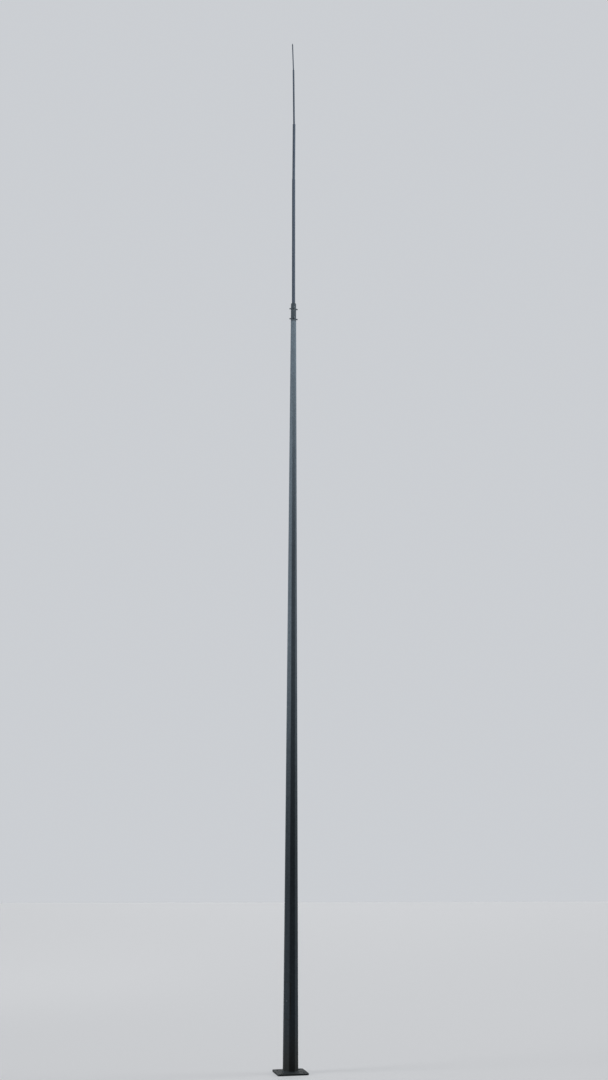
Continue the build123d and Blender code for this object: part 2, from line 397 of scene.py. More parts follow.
def carried_bead(base, path, ways, places, length, legs, bulge, pitch, seed):
    """A weld bead's section carried along a closed path on a frame's plane.

    The point at a place is path + out ways, and it stands rise over the plane, where out and
    rise are the section's distances."""
    out, rise = bead_section(*legs, bulge, places, pitch, length, seed)
    points = path[:, None, :] + out[..., None] * ways[:, None, :]
    return surface(placed(points, rise, base))


def closed_bead(base, corners, radius, legs, bulge, pitch, seed, inward=False):
    """A weld bead round a closed outline. Its legs are the outward and the upward one."""
    rough, _, _ = rounded_path(corners, radius, MEASURE_STEPS)
    length = np.linalg.norm(np.roll(rough, -1, axis=0) - rough, axis=1).sum()
    path, ways, places = rounded_path(corners, radius, bead_steps(length, pitch))
    if inward:
        ways = -ways
    return carried_bead(base, path, ways, places, length, legs, bulge, pitch, seed)


def round_bead(base, radius, legs, bulge, pitch, seed):
    """A weld bead round a circle. Its legs are the outward and the upward one."""
    length = 2 * pi * radius
    angles = full_turn(bead_steps(length, pitch))
    ways = np.stack([np.cos(angles), np.sin(angles)], axis=1)
    return carried_bead(
        base, radius * ways, ways, radius * angles, length, legs, bulge, pitch, seed)


def spun(rows, count, base):
    """Points of rows that turn about a frame's normal: side r cos u + up r sin u + normal h.

    Each row is a radius r and a height h, either of them one number or one for each of the
    count steps of the angle u."""
    whole = np.ones(count)
    radii, heights = (np.vstack([value * whole for value in part]) for part in zip(*rows))
    angles = full_turn(count)
    flat = np.stack([radii * np.cos(angles), radii * np.sin(angles)], axis=2)
    return placed(flat, heights, base)


def hexagon_radius(flats, count):
    """Distance from a hexagon's middle to its edge at count angles, a corner at the first.

    It is half the distance across flats over cos((angle mod 60 degrees) - 30 degrees)."""
    return flats / 2 / np.cos(np.mod(full_turn(count), pi / 3) - pi / 6)


def chamfered_edge(hexagon, height, flat_radius):
    """Height of a hexagon's upper edge where a flat cone cuts its corners off."""
    cone_slope = tan(radians(30.0))
    return height - np.maximum(0.0, hexagon - flat_radius) * cone_slope


class Wiring:
    """Puts nodes in a tree and links them. All but parts return the new node's output socket."""

    def __init__(self, tree):
        self.tree = tree

    def put(self, kind, values=(), output=0, **settings):
        """A node of a kind with its settings, and its inputs linked or set by place or name."""
        node = self.tree.nodes.new(kind)
        for setting, value in settings.items():
            setattr(node, setting, value)
        pairs = values.items() if isinstance(values, dict) else enumerate(values)
        for place, value in pairs:
            if isinstance(value, bpy.types.NodeSocket):
                self.tree.links.new(value, node.inputs[place])
            else:
                node.inputs[place].default_value = value
        return node.outputs[output]

    def maths(self, operation, *values):
        """An operation on numbers."""
        return self.put("ShaderNodeMath", values, operation=operation)

    def sum(self, *values):
        """The sum of two numbers."""
        return self.maths("ADD", *values)

    def less(self, *values):
        """The first number less the second."""
        return self.maths("SUBTRACT", *values)

    def times(self, *values):
        """The product of two numbers."""
        return self.maths("MULTIPLY", *values)

    def over(self, *values):
        """The first number over the second."""
        return self.maths("DIVIDE", *values)

    def ramp(self, value, low, high, to_low=0.0, to_high=1.0):
        """A smooth step from to_low at low to to_high at high."""
        return self.put(
            "ShaderNodeMapRange", (value, low, high, to_low, to_high),
            interpolation_type="SMOOTHSTEP",
        )

    def dot(self, vector, way):
        """How far a vector reaches along a fixed way."""
        return self.put(
            "ShaderNodeVectorMath", (vector, way), output="Value", operation="DOT_PRODUCT")

    def scaled(self, vector, factor):
        """A vector times a number."""
        return self.put("ShaderNodeVectorMath", {0: vector, "Scale": factor}, operation="SCALE")

    def noise(self, vector, detail, roughness, scale=1.0, output="Fac"):
        """Smooth noise about one half."""
        return self.put(
            "ShaderNodeTexNoise",
            {"Vector": vector, "Scale": scale, "Detail": detail, "Roughness": roughness},
            output=output,
        )

    def swing(self, value, strength):
        """A tone about one that follows a value about one half: 1 + (value - 0.5) strength."""
        return self.sum(self.times(self.less(value, 0.5), strength), 1.0)

    def toned(self, value, strength):
        """A swing of twice the strength, for noise that stays near one half."""
        return self.swing(value, self.times(strength, 2.0))

    def parts(self, vector):
        """The node whose three outputs are a vector's parts."""
        return self.put("ShaderNodeSeparateXYZ", (vector,)).node

    def blend(self, factor, first, second, mode="MIX"):
        """Two colours mixed."""
        values = {0: factor, 6: first, 7: second}
        return self.put("ShaderNodeMix", values, output=2, data_type="RGBA", blend_type=mode)


def start_group(name, inputs):
    """The wiring of a new node group, and its input sockets by name.

    An input is a name and its default, a vector for None."""
    tree = bpy.data.node_groups.new(name, "ShaderNodeTree")
    for title, default in inputs.items():
        kind = "NodeSocketVector" if default is None else "NodeSocketFloat"
        socket = tree.interface.new_socket(title, in_out="INPUT", socket_type=kind)
        if default is not None:
            socket.default_value = default
    source = tree.nodes.new("NodeGroupInput")
    return Wiring(tree), {socket.name: socket for socket in source.outputs if socket.name}


def close_group(wiring, values):
    """Gives a group an output for each value, a number or a vector, and hands it back."""
    tree = wiring.tree
    for title, socket in values.items():
        kind = "NodeSocketVector" if socket.type == "VECTOR" else "NodeSocketFloat"
        tree.interface.new_socket(title, in_out="OUTPUT", socket_type=kind)
    sink = tree.nodes.new("NodeGroupOutput")
    for title, socket in values.items():
        tree.links.new(socket, sink.inputs[title])
    return tree


# Noise about one half at which a run, a patch or a drift begins to show, and at which it is full
RUN_RANGE = (0.56, 0.72)
PATCH_RANGE = (0.5, 0.7)
DRIFT_RANGE = (0.35, 0.65)


def spangle_group():
    """Crystal patches of zinc: each cell has its own tone, gloss and level, and a faint border."""
    wiring, given = start_group(
        "Zinc Spangle", {"Position": None, "Size": 0.012, "Contrast": 0.1})
    level_share = 0.4
    border_width = 0.08
    place = wiring.scaled(given["Position"], wiring.over(1.0, given["Size"]))
    drift = wiring.noise(place, detail=2.0, roughness=0.6, scale=0.9, output="Color")
    place = wiring.put("ShaderNodeVectorMath", (place, drift), operation="ADD")
    cells = wiring.put("ShaderNodeTexVoronoi", {"Vector": place, "Scale": 1.0}, output="Color")
    border = wiring.put(
        "ShaderNodeTexVoronoi", {"Vector": place, "Scale": 1.0}, output="Distance",
        feature="DISTANCE_TO_EDGE",
    )
    cell = wiring.parts(cells)
    tone = wiring.swing(cell.outputs[0], given["Contrast"])
    gloss = wiring.times(wiring.less(cell.outputs[1], 0.5), given["Contrast"])
    level = wiring.times(cell.outputs[2], level_share)
    height = wiring.sum(level, wiring.ramp(border, 0.0, border_width))
    return close_group(wiring, {"Tone": tone, "Gloss": gloss, "Height": height})


def streak_group():
    """Upright streaks left by draining zinc and rain: noise drawn out along Z."""
    wiring, given = start_group(
        "Zinc Streaks", {"Position": None, "Width": 0.012, "Length": 0.6, "Strength": 0.1})
    part = wiring.parts(given["Position"])
    place = wiring.put("ShaderNodeCombineXYZ", (
        wiring.over(part.outputs[0], given["Width"]),
        wiring.over(part.outputs[1], given["Width"]),
        wiring.over(part.outputs[2], given["Length"]),
    ))
    grain = wiring.noise(place, detail=4.0, roughness=0.6)
    tone = wiring.toned(grain, given["Strength"])
    return close_group(wiring, {"Tone": tone, "Run": wiring.ramp(grain, *RUN_RANGE)})


def film_group():
    """Large soft patches where weather has dulled the zinc more or less."""
    wiring, given = start_group(
        "Weather Film", {"Position": None, "Size": 0.25, "Strength": 0.1})
    place = wiring.scaled(given["Position"], wiring.over(1.0, given["Size"]))
    cloud = wiring.noise(place, detail=5.0, roughness=0.62)
    tone = wiring.toned(cloud, given["Strength"])
    return close_group(wiring, {"Tone": tone, "Patch": wiring.ramp(cloud, *PATCH_RANGE)})


def splash_group():
    """Soil splashed up from the ground: full at the floor, broken up by noise towards Height."""
    wiring, given = start_group(
        "Ground Splash", {"Position": None, "Height": 0.5, "Strength": 0.6})
    lift = 0.25
    full_depth = 0.8
    level = wiring.over(wiring.parts(given["Position"]).outputs[2], given["Height"])
    specks = wiring.noise(given["Position"], detail=5.0, roughness=0.7, scale=45.0)
    depth = wiring.less(wiring.sum(specks, lift), level)
    mask = wiring.times(wiring.ramp(depth, 0.0, full_depth), given["Strength"])
    return close_group(wiring, {"Mask": mask})


def band_group():
    """A tone that changes at a level: 0 below it and 1 above it, with a soft border."""
    wiring, given = start_group(
        "Level Band", {"Position": None, "Level": 8.735, "Softness": 0.02})
    height = wiring.parts(given["Position"]).outputs[2]
    low = wiring.less(given["Level"], given["Softness"])
    high = wiring.sum(given["Level"], given["Softness"])
    return close_group(wiring, {"Mask": wiring.ramp(height, low, high)})


def edge_group():
    """Rubbed edges: where the rounded normal leaves the flat one, and the rounded normal."""
    wiring, given = start_group("Edge Rub", {"Radius": 0.0015, "Gain": 4.0})
    rounded = wiring.put("ShaderNodeBevel", (given["Radius"],), samples=6)
    flat = wiring.put("ShaderNodeNewGeometry", output="Normal")
    agreement = wiring.dot(rounded, flat)
    mask = wiring.times(wiring.less(1.0, agreement), given["Gain"])
    mask = wiring.maths("MINIMUM", mask, 1.0)
    return close_group(wiring, {"Mask": mask, "Normal": rounded})


def run_off_group():
    """Faint streaks that rain has drawn down a facet from each set bolt.

    Across a facet the distance is measured from its middle line, and downwards from the ring of
    bolts above. A streak is full at the line, ends at Width, and dies away over Length."""
    wiring, given = start_group(
        "Run-off", {"Position": None, "Width": 0.010, "Length": 0.35})
    part = wiring.parts(given["Position"])
    across = [wiring.maths("ABSOLUTE", part.outputs[place]) for place in (0, 1)]
    near = wiring.maths("MINIMUM", *across)
    fineness = (90.0, 90.0, 6.0)
    drawn_out = wiring.put("ShaderNodeCombineXYZ", [
        wiring.times(part.outputs[place], scale) for place, scale in enumerate(fineness)])
    drift = wiring.noise(drawn_out, detail=4.0, roughness=0.65)
    band = wiring.ramp(near, 0.0, given["Width"], 1.0, 0.0)
    streaks = []
    for drop in RING_DROPS.values():
        below = wiring.over(wiring.less(HEAD_LEVEL - drop, part.outputs[2]), given["Length"])
        start = wiring.maths("GREATER_THAN", below, 0.0)
        streaks.append(wiring.times(start, wiring.ramp(below, 0.0, 1.0, 1.0, 0.0)))
    run = wiring.times(wiring.maths("MAXIMUM", *streaks), band)
    run = wiring.times(run, wiring.ramp(drift, *DRIFT_RANGE))
    return close_group(wiring, {"Mask": run})


def outline_group():
    """Dirt and a painted shadow of the gap along the hatch's outline on its facet.

    The outline is a rounded rectangle: with q = |p| - half size + corner, the distance to it is
    length(max(q, 0)) + min(max(q), 0) - corner, and the dirt and painted shadow fade with that
    distance."""
    wiring, given = start_group("Hatch Outline", {
        "Position": None, "Middle": 0.675, "Half Height": 0.175, "Half Width": 0.0375,
        "Corner": 0.02, "Spread": 0.006,
    })
    out, along = facet_ways(HATCH_TURN)
    side = wiring.dot(given["Position"], along)
    reach = wiring.dot(given["Position"], out)
    height = wiring.less(wiring.parts(given["Position"]).outputs[2], given["Middle"])
    near = []
    for place, half in ((side, given["Half Width"]), (height, given["Half Height"])):
        near.append(wiring.sum(wiring.less(wiring.maths("ABSOLUTE", place), half), given["Corner"]))
    beyond = [wiring.maths("MAXIMUM", part, 0.0) for part in near]
    squares = wiring.sum(*[wiring.times(part, part) for part in beyond])
    within = wiring.maths("MINIMUM", wiring.maths("MAXIMUM", *near), 0.0)
    distance = wiring.less(wiring.sum(wiring.maths("SQRT", squares), within), given["Corner"])
    mask = wiring.ramp(wiring.maths("ABSOLUTE", distance), 0.0, given["Spread"], 1.0, 0.0)
    near_side = 0.02
    mask = wiring.times(mask, wiring.maths("GREATER_THAN", reach, near_side))
    return close_group(wiring, {"Mask": mask})


GROUP_MAKERS = {
    "Zinc Spangle": spangle_group,
    "Zinc Streaks": streak_group,
    "Weather Film": film_group,
    "Ground Splash": splash_group,
    "Level Band": band_group,
    "Edge Rub": edge_group,
    "Hatch Outline": outline_group,
    "Run-off": run_off_group,
}


def use_group(wiring, name, *values):
    """The outputs of a shared group in a material, its inputs set in order from values.

    The group is built the first time that a material asks for it."""
    tree = bpy.data.node_groups.get(name) or GROUP_MAKERS[name]()
    return wiring.put("ShaderNodeGroup", values, node_tree=tree).node.outputs


# Each finish: its colour's name, its roughness, and the values that the shared groups get in it.
# A spangle has a size and a contrast, streaks a width, a length and a strength, a film a size
# and a strength, and a splash a height and a strength. An edge is the radius that it is rubbed
# to, a bump is the relief's height, and the rest are the shares by which their masks count
FINISHES = {
    "Pole Zinc": dict(
        colour="pole_colour", rough=0.66, spangle=(0.012, 0.20), streaks=(0.011, 0.9, 0.14),
        film=(0.32, 0.14), splash=(0.75, 0.6), edge=0.0012, bump=0.00006,
        head_shade=0.58, foot_shade=0.62, hatch_dirt_and_shadow=0.55, run_off=0.30,
    ),
    "Flange Zinc": dict(
        colour="flange_colour_with_painted_shade", rough=0.66, spangle=(0.013, 0.20), streaks=(0.02, 0.05, 0.06),
        film=(0.12, 0.18), splash=(0.12, 0.55), edge=0.0025, bump=0.00003,
    ),
    "Hatch Zinc": dict(
        colour="hatch_colour", rough=0.64, spangle=(0.012, 0.20), streaks=(0.011, 0.5, 0.14),
        film=(0.15, 0.14), splash=(0.75, 0.6), edge=0.0010, bump=0.00006, foot_shade=0.62,
        hatch_dirt_and_shadow=0.5,
    ),
    "Receiver Zinc": dict(
        colour="receiver_colour", rough=0.66, spangle=(0.007, 0.15), streaks=(0.006, 0.5, 0.16),
        film=(0.22, 0.14), edge=0.0008, bump=0.00004,
    ),
    "Fastener Zinc": dict(
        colour="fastener_colour", rough=0.44, spangle=(0.003, 0.14), streaks=(0.002, 0.01, 0.1),
        film=(0.012, 0.2), edge=0.0005, bump=0.00002,
    ),
    "Weld Zinc": dict(
        colour="weld_colour", rough=0.56, spangle=(0.004, 0.18), streaks=(0.003, 0.02, 0.1),
        film=(0.02, 0.22), splash=(0.12, 0.5), bump=0.00006,
    ),
    "Pole Weld": dict(
        colour="pole_colour", rough=0.60, spangle=(0.006, 0.16), streaks=(0.003, 0.04, 0.1),
        film=(0.05, 0.20), splash=(0.75, 0.6), bump=0.00004, head_shade=0.58, foot_shade=0.62,
    ),
    "Receiver Weld": dict(
        colour="receiver_colour", rough=0.56, spangle=(0.004, 0.18), streaks=(0.003, 0.02, 0.1),
        film=(0.02, 0.22), bump=0.00006,
    ),
}


# Shares and swings that all finishes have in common
BLOOM_SHARE = 0.35
EDGE_SHARE = 0.4
EDGE_POLISH = 0.08
PATCH_ROUGHNESS = 0.08
STAIN_ROUGHNESS = 0.25
ROUGHNESS_RANGE = (0.25, 0.95)
BUMP_STRENGTH = 0.8
GLOSS_TO_METAL = 1.2
SPECULAR_LEVEL = 0.05

# Height at which the painted shade of the foot is half gone, and its softness
FOOT_BAND = (3.4, 1.5)


def opaque(colour):
    """A colour of three parts with a fourth for its cover."""
    return (*colour, 1.0)


def finish(name):
    """The material of a finish, built the first time it is asked for.

    The zinc's colour is multiplied by the tones of the spangle, the streaks and the film, and is
    shaded at the head and darkened by painted shade towards the foot where the finish asks for it.
    Chalky bloom, soil, dirt with a painted shadow round the hatch, run-off and rubbed edges are
    mixed over it by their masks."""
    if name in bpy.data.materials:
        return bpy.data.materials[name]
    look = bpy.context.scene.mast_finish
    given = FINISHES[name]
    material = bpy.data.materials.new(name)
    material.use_nodes = True
    tree = material.node_tree
    shader = tree.nodes["Principled BSDF"]
    wiring = Wiring(tree)
    place = wiring.put("ShaderNodeTexCoord", output="Object")

    spangle = use_group(wiring, "Zinc Spangle", place, *given["spangle"])
    streaks = use_group(wiring, "Zinc Streaks", place, *given["streaks"])
    film = use_group(wiring, "Weather Film", place, *given["film"])
    tone = wiring.times(wiring.times(spangle["Tone"], streaks["Tone"]), film["Tone"])
    if "head_shade" in given:
        band = use_group(wiring, "Level Band", place)
        tone = wiring.times(tone, wiring.less(1.0, wiring.times(band["Mask"], given["head_shade"])))
    # Painted shade: the colour darkens towards the foot, standing in for dimmer light and dark
    # reflections low on the pole
    if "foot_shade" in given:
        band = use_group(wiring, "Level Band", place, *FOOT_BAND)
        painted_foot_shade = wiring.times(wiring.less(1.0, band["Mask"]), given["foot_shade"])
        tone = wiring.times(tone, wiring.less(1.0, painted_foot_shade))
    shade = wiring.put("ShaderNodeCombineXYZ", (tone, tone, tone))
    colour = wiring.blend(1.0, opaque(getattr(look, given["colour"])), shade, "MULTIPLY")

    bloom = wiring.times(wiring.times(streaks["Run"], film["Patch"]), BLOOM_SHARE)
    colour = wiring.blend(bloom, colour, opaque(look.bloom_colour))
    rough = wiring.sum(spangle["Gloss"], given["rough"])
    rough = wiring.sum(rough, wiring.times(film["Patch"], PATCH_ROUGHNESS))
    stains = []
    if "splash" in given:
        splash = use_group(wiring, "Ground Splash", place, *given["splash"])["Mask"]
        stains.append((splash, look.soil_colour))
    if "hatch_dirt_and_shadow" in given:
        # Dirt in the hatch's gap together with a painted shadow of the gap, darkening its outline
        dirt_and_gap_shadow = use_group(wiring, "Hatch Outline", place)["Mask"]
        stains.append((wiring.times(dirt_and_gap_shadow, given["hatch_dirt_and_shadow"]), look.soil_colour))
    if "run_off" in given:
        run = use_group(wiring, "Run-off", place)["Mask"]
        stains.append((wiring.times(run, given["run_off"]), look.bloom_colour))
    for mask, stain in stains:
        colour = wiring.blend(mask, colour, opaque(stain))
        rough = wiring.sum(rough, wiring.times(mask, STAIN_ROUGHNESS))

    bump = {"Strength": BUMP_STRENGTH, "Distance": given["bump"], "Height": spangle["Height"]}
    if "edge" in given:
        edge = use_group(wiring, "Edge Rub", given["edge"])
        rubbed = wiring.times(edge["Mask"], EDGE_SHARE)
        colour = wiring.blend(rubbed, colour, opaque(look.bloom_colour))
        rough = wiring.less(rough, wiring.times(edge["Mask"], EDGE_POLISH))
        bump["Normal"] = edge["Normal"]
    normal = wiring.put("ShaderNodeBump", bump)
    least_rough, most_rough = ROUGHNESS_RANGE
    rough = wiring.maths("MINIMUM", wiring.maths("MAXIMUM", rough, least_rough), most_rough)
    bare = wiring.sum(wiring.times(spangle["Gloss"], GLOSS_TO_METAL), look.metallic)
    bare = wiring.maths("MAXIMUM", bare, 0.0)
    results = {"Base Color": colour, "Roughness": rough, "Normal": normal, "Metallic": bare}
    for title, value in results.items():
        tree.links.new(value, shader.inputs[title])
    shader.inputs["Specular IOR Level"].default_value = SPECULAR_LEVEL
    return material


def dress(names, material):
    """Gives CAD nodes a finish through their objects' material slots."""
    for name in names:
        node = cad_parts[name]
        if not node.material_slots:
            node.data.materials.append(finish(material))
        for slot in node.material_slots:
            slot.link = "OBJECT"
            slot.material = finish(material)


def shown_rays(wiring):
    """One for rays that show the background: straight from the camera, or by gloss or glass."""
    rays = wiring.put("ShaderNodeLightPath").node.outputs
    mirrored = wiring.maths("MAXIMUM", rays["Is Glossy Ray"], rays["Is Transmission Ray"])
    return wiring.maths("MAXIMUM", rays["Is Camera Ray"], mirrored)


# The camera's sensor in millimetres, the picture's height and the focal length in pixels, and
# how far the camera sees, in metres
SENSOR = 36.0
PICTURE_HEIGHT = 1080.0
FOCAL_LENGTH = 1000.0
SIGHT = 500.0


class MAST_OT_camera(bpy.types.Operator):
    """Set the camera where the mast is seen from, looking up along it"""

    bl_idname = "mast.camera"
    bl_label = "Camera"

    def execute(self, context):
        sizes = context.scene.mast_sizes
        data = bpy.data.cameras.new("Camera")
        data.sensor_width = SENSOR
        data.lens = SENSOR * FOCAL_LENGTH / PICTURE_HEIGHT
        data.clip_end = SIGHT
        camera = add_object("Camera", data)
        camera.location = (
            -sizes.camera_distance * sin(sizes.camera_side),
            -sizes.camera_distance * cos(sizes.camera_side),
            sizes.camera_height,
        )
        heading = sizes.camera_side + sizes.camera_turn
        camera.rotation_euler = (pi / 2 + sizes.camera_pitch, 0.0, -heading)
        context.scene.camera = camera
        return {"FINISHED"}


class MAST_OT_steelwork(bpy.types.Operator):
    """Give the pole, flange, hatch, lug and receiver their zinc finishes"""

    bl_idname = "mast.steelwork"
    bl_label = "Steelwork finishes"

    def execute(self, context):
        dress(["pole_shaft", "hatch_frame", "earth_lug", "head_ring"], "Pole Zinc")
        dress(["base_flange"], "Flange Zinc")
        dress(["hatch_lid"], "Hatch Zinc")
        dress(["hatch_lock_screw", "hatch_strap"], "Fastener Zinc")
        dress(
            ["receiver_tube_lower", "receiver_tube_middle", "reducer_bush", "receiver_tube_upper",
             "tip_rod"],
            "Receiver Zinc",
        )
        return {"FINISHED"}


class MAST_OT_foot_weld(bpy.types.Operator):
    """Make the rippled fillet weld round the pole's foot"""

    bl_idname = "mast.foot_weld"
    bl_label = "Foot weld"

    def execute(self, context):
        sizes = context.scene.mast_sizes
        base = level_frame(FOOT_LEVEL)
        corners = polygon_corners(FACETS, FOOT_APOTHEM - BEND_RADIUS, pi / FACETS)
        bead = closed_bead(
            base, corners, BEND_RADIUS, legs=(sizes.foot_leg, sizes.foot_leg), bulge=0.0008,
            pitch=sizes.ripple_pitch, seed=3,
        )
        make_piece("foot_weld_bead", bead, "Weld Zinc", ("base_weld",))
        return {"FINISHED"}


class MAST_OT_seam(bpy.types.Operator):
    """Make the low weld seam along the pole's rear facet"""

    bl_idname = "mast.seam"
    bl_label = "Lengthwise seam"

    def execute(self, context):
        sizes = context.scene.mast_sizes
        low = FOOT_LEVEL + sizes.foot_leg / 2
        high = HEAD_LEVEL - MILLIMETRE
        pitch = 0.010
        steps_per_pitch = 4
        points_across = 6
        end_length = 0.006
        crescent = 0.5
        ripple_share = 0.25
        wave_share = 0.06
        edge_sink = 0.0001
        root_depth = 0.0006
        # With v from 0 to 1 across it, the seam stands over the flat by seam_rise sin(pi v), less
        # the ripple's share of 1 - |sin(pi (height / pitch - bow))|, and falls away at both ends
        heights = np.linspace(low, high, round((high - low) / pitch) * steps_per_pitch)
        across = np.linspace(0.0, 1.0, points_across)
        ends = np.minimum(1.0, np.minimum(heights - low, high - heights) / end_length)[:, None]
        bow = crescent * (1 - (2 * across - 1) ** 2)
        ripple = np.abs(np.sin(pi * (heights[:, None] / pitch - bow)))
        swell = 1 - ripple_share + ripple_share * ripple
        rise = sizes.seam_rise * np.sin(pi * across) * swell * ends - edge_sink
        wave = 1 + wave_share * unevenness(heights, high - low, seed=5)
        side = (across - 0.5) * (sizes.seam_width * wave)[:, None]
        face_out, face_side = facet_ways(SEAM_TURN)
        reach = apothem(heights)[:, None] + rise
        behind = apothem(heights)[:, None] - root_depth
        side = np.hstack([side, side[:, -1:], side[:, :1]])
        reach = np.hstack([reach, behind, behind])
        points = reach[..., None] * face_out + side[..., None] * face_side
        points[..., 2] = heights[:, None]
        make_piece("pole_seam_bead", surface(points, capped=True), "Pole Weld")
        return {"FINISHED"}


class MAST_OT_lug_weld(bpy.types.Operator):
    """Make the weld round the earth lug's root"""

    bl_idname = "mast.lug_weld"
    bl_label = "Lug weld"

    def execute(self, context):
        sizes = context.scene.mast_sizes
        low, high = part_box("earth_lug")
        base = facet_frame((low.z + high.z) / 2, LUG_TURN)
        corner = 0.0008
        reach = np.array([high.x - low.x, high.z - low.z]) / 2 - corner
        corners = np.array([[1, 1], [-1, 1], [-1, -1], [1, -1]]) * reach
        bead = closed_bead(
            base, corners, corner, legs=(sizes.lug_leg, sizes.lug_leg), bulge=0.0006,
            pitch=sizes.ripple_pitch, seed=7,
        )
        make_piece("lug_weld_bead", bead, "Pole Weld")
        return {"FINISHED"}


class MAST_OT_clamp_nuts(bpy.types.Operator):
    """Make the eight nuts with chamfered corners and the weld round each"""

    bl_idname = "mast.clamp_nuts"
    bl_label = "Clamp nuts"

    def execute(self, context):
        sizes = context.scene.mast_sizes
        flats = 0.016
        height = 0.0084
        bore = 0.0051
        bore_bevel = 0.0007
        corner = 0.0006
        flat_share = 0.96
        leg_ratio = 1.1
        legs = (sizes.nut_leg, sizes.nut_leg * leg_ratio)
        hexagon = hexagon_radius(flats, sizes.turns)
        flat_radius = flats / 2 * flat_share
        edge = chamfered_edge(hexagon, height, flat_radius)
        rows = [
            (bore, 0.0), (hexagon, 0.0), (hexagon, edge), (flat_radius, height),
            (bore + bore_bevel, height), (bore, height - bore_bevel),
        ]
        corners = polygon_corners(sides=6, inner=flats / 2 - corner)
        first_seed = 11
        for seed, (place, level, turn) in enumerate(clamps(), first_seed):
            facet = facet_frame(level, turn)
            name = f"clamp_nut_{place}"
            nut = surface(spun(rows, sizes.turns, facet))
            make_piece(
                name + "_shape", nut, "Fastener Zinc", (name,), sharp=25.0)
            bead = closed_bead(
                facet, corners, corner, legs, bulge=0.0004, pitch=0.0022, seed=seed)
            make_piece(name + "_weld", bead, "Weld Zinc")
        return {"FINISHED"}


class MAST_OT_clamp_bolts(bpy.types.Operator):
    """Make the eight set bolts with threads and chamfered heads"""

    bl_idname = "mast.clamp_bolts"
    bl_label = "Set bolts"

    def execute(self, context):
        sizes = context.scene.mast_sizes
        head = 0.0064
        flats = 0.016
        radius = 0.005
        _, _, _, outward = facet_frame(HEAD_LEVEL - RING_DROPS["upper"], CLAMP_TURNS["right"])
        length = np.ptp(node_points("clamp_bolt_upper_right") @ outward) - head
        _, _, _, tube_radius = straight_tube("receiver_tube_lower")
        seat_gap = 0.0003
        point_bevel = 0.0011
        thread_start = 0.012
        thread_end = length - 0.0008
        run_out = 0.001
        steps_per_turn = 8
        washer_radius = 0.0074
        washer_height = 0.0004
        dish_radius = 0.0055
        dish_depth = 0.0003
        flat_share = 0.95
        # At height h and angle u the thread cuts depth (1 - cos(2 pi h / pitch - u)) / 2 into the
        # shank's radius, and it runs out at both ends
        steps = round((length - thread_start) / sizes.thread_pitch * steps_per_turn)
        along = np.linspace(thread_start, thread_end, steps)
        ends = np.clip(np.minimum(along - thread_start, thread_end - along) / run_out, 0.0, 1.0)
        along = along[:, None]
        wave = 0.5 - 0.5 * np.cos(2 * pi * along / sizes.thread_pitch - full_turn(sizes.turns))
        thread = radius - sizes.thread_depth * wave * ends[:, None]
        washer_top = length + washer_height
        total = length + head
        hexagon = hexagon_radius(flats, sizes.turns)
        flat_radius = flats / 2 * flat_share
        edge = chamfered_edge(hexagon, total, flat_radius)
        rows = [
            (radius - point_bevel, 0.0), (radius, point_bevel), (thread, along), (radius, length),
            (washer_radius, length), (washer_radius, washer_top), (hexagon, washer_top),
            (hexagon, edge), (flat_radius, total), (dish_radius, total),
            (dish_radius - dish_depth, total - dish_depth),
        ]
        for place, level, turn in clamps():
            seat = shifted(facet_frame(level, turn), tube_radius + seat_gap - apothem(level))
            name = f"clamp_bolt_{place}"
            bolt = surface(spun(rows, sizes.turns, seat), capped=True)
            make_piece(
                name + "_shape", bolt, "Fastener Zinc", (name,), sharp=30.0)
        return {"FINISHED"}


class MAST_OT_receiver_welds(bpy.types.Operator):
    """Make the weld beads at the receiver's mouths and under the bush's collar"""

    bl_idname = "mast.receiver_welds"
    bl_label = "Receiver welds"

    def execute(self, context):
        coarse = context.scene.mast_sizes.ripple_pitch
        fine = 0.0022
        lower_lap = 0.0002
        tip_lap = 0.0001
        butt_sink = 0.0002
        butt_drop = 0.002
        _, lower_mouth, _, lower_radius = straight_tube("receiver_tube_lower")
        _, middle_mouth, middle_way, middle_radius = straight_tube("receiver_tube_middle")
        upper_foot, upper_mouth, upper_way, upper_radius = straight_tube("receiver_tube_upper")
        _, _, rod_way, rod_radius = straight_tube("tip_rod")
        bush_level = (node_points("reducer_bush") @ middle_way).max()
        rise = (bush_level - upper_foot @ middle_way) / (upper_way @ middle_way)
        bush_top = upper_foot + rise * upper_way
        lower_leg = lower_radius - middle_radius + lower_lap
        tip_leg = upper_radius - rod_radius + tip_lap
        butt_radius = middle_radius - butt_sink
        lower_place = axis_frame(lower_mouth, middle_way)
        butt_place = axis_frame(middle_mouth - butt_drop * middle_way, middle_way)
        top_place = axis_frame(bush_top, upper_way)
        tip_place = axis_frame(upper_mouth, rod_way)
        # Each bead's place, radius, outward and upward legs, bulge, pitch and seed
        beads = {
            "lower_joint_bead":
                (lower_place, middle_radius, (lower_leg, 0.0056), 0.0009, coarse, 31),
            "bush_butt_bead": (butt_place, butt_radius, (0.0009, 0.0042), 0.0007, coarse, 32),
            "bush_top_bead": (top_place, upper_radius, (0.0017, 0.0030), 0.0005, fine, 33),
            "tip_joint_bead": (tip_place, rod_radius, (tip_leg, 0.0054), 0.0006, fine, 34),
        }
        for name, values in beads.items():
            make_piece(name, round_bead(*values), "Receiver Weld")
        return {"FINISHED"}


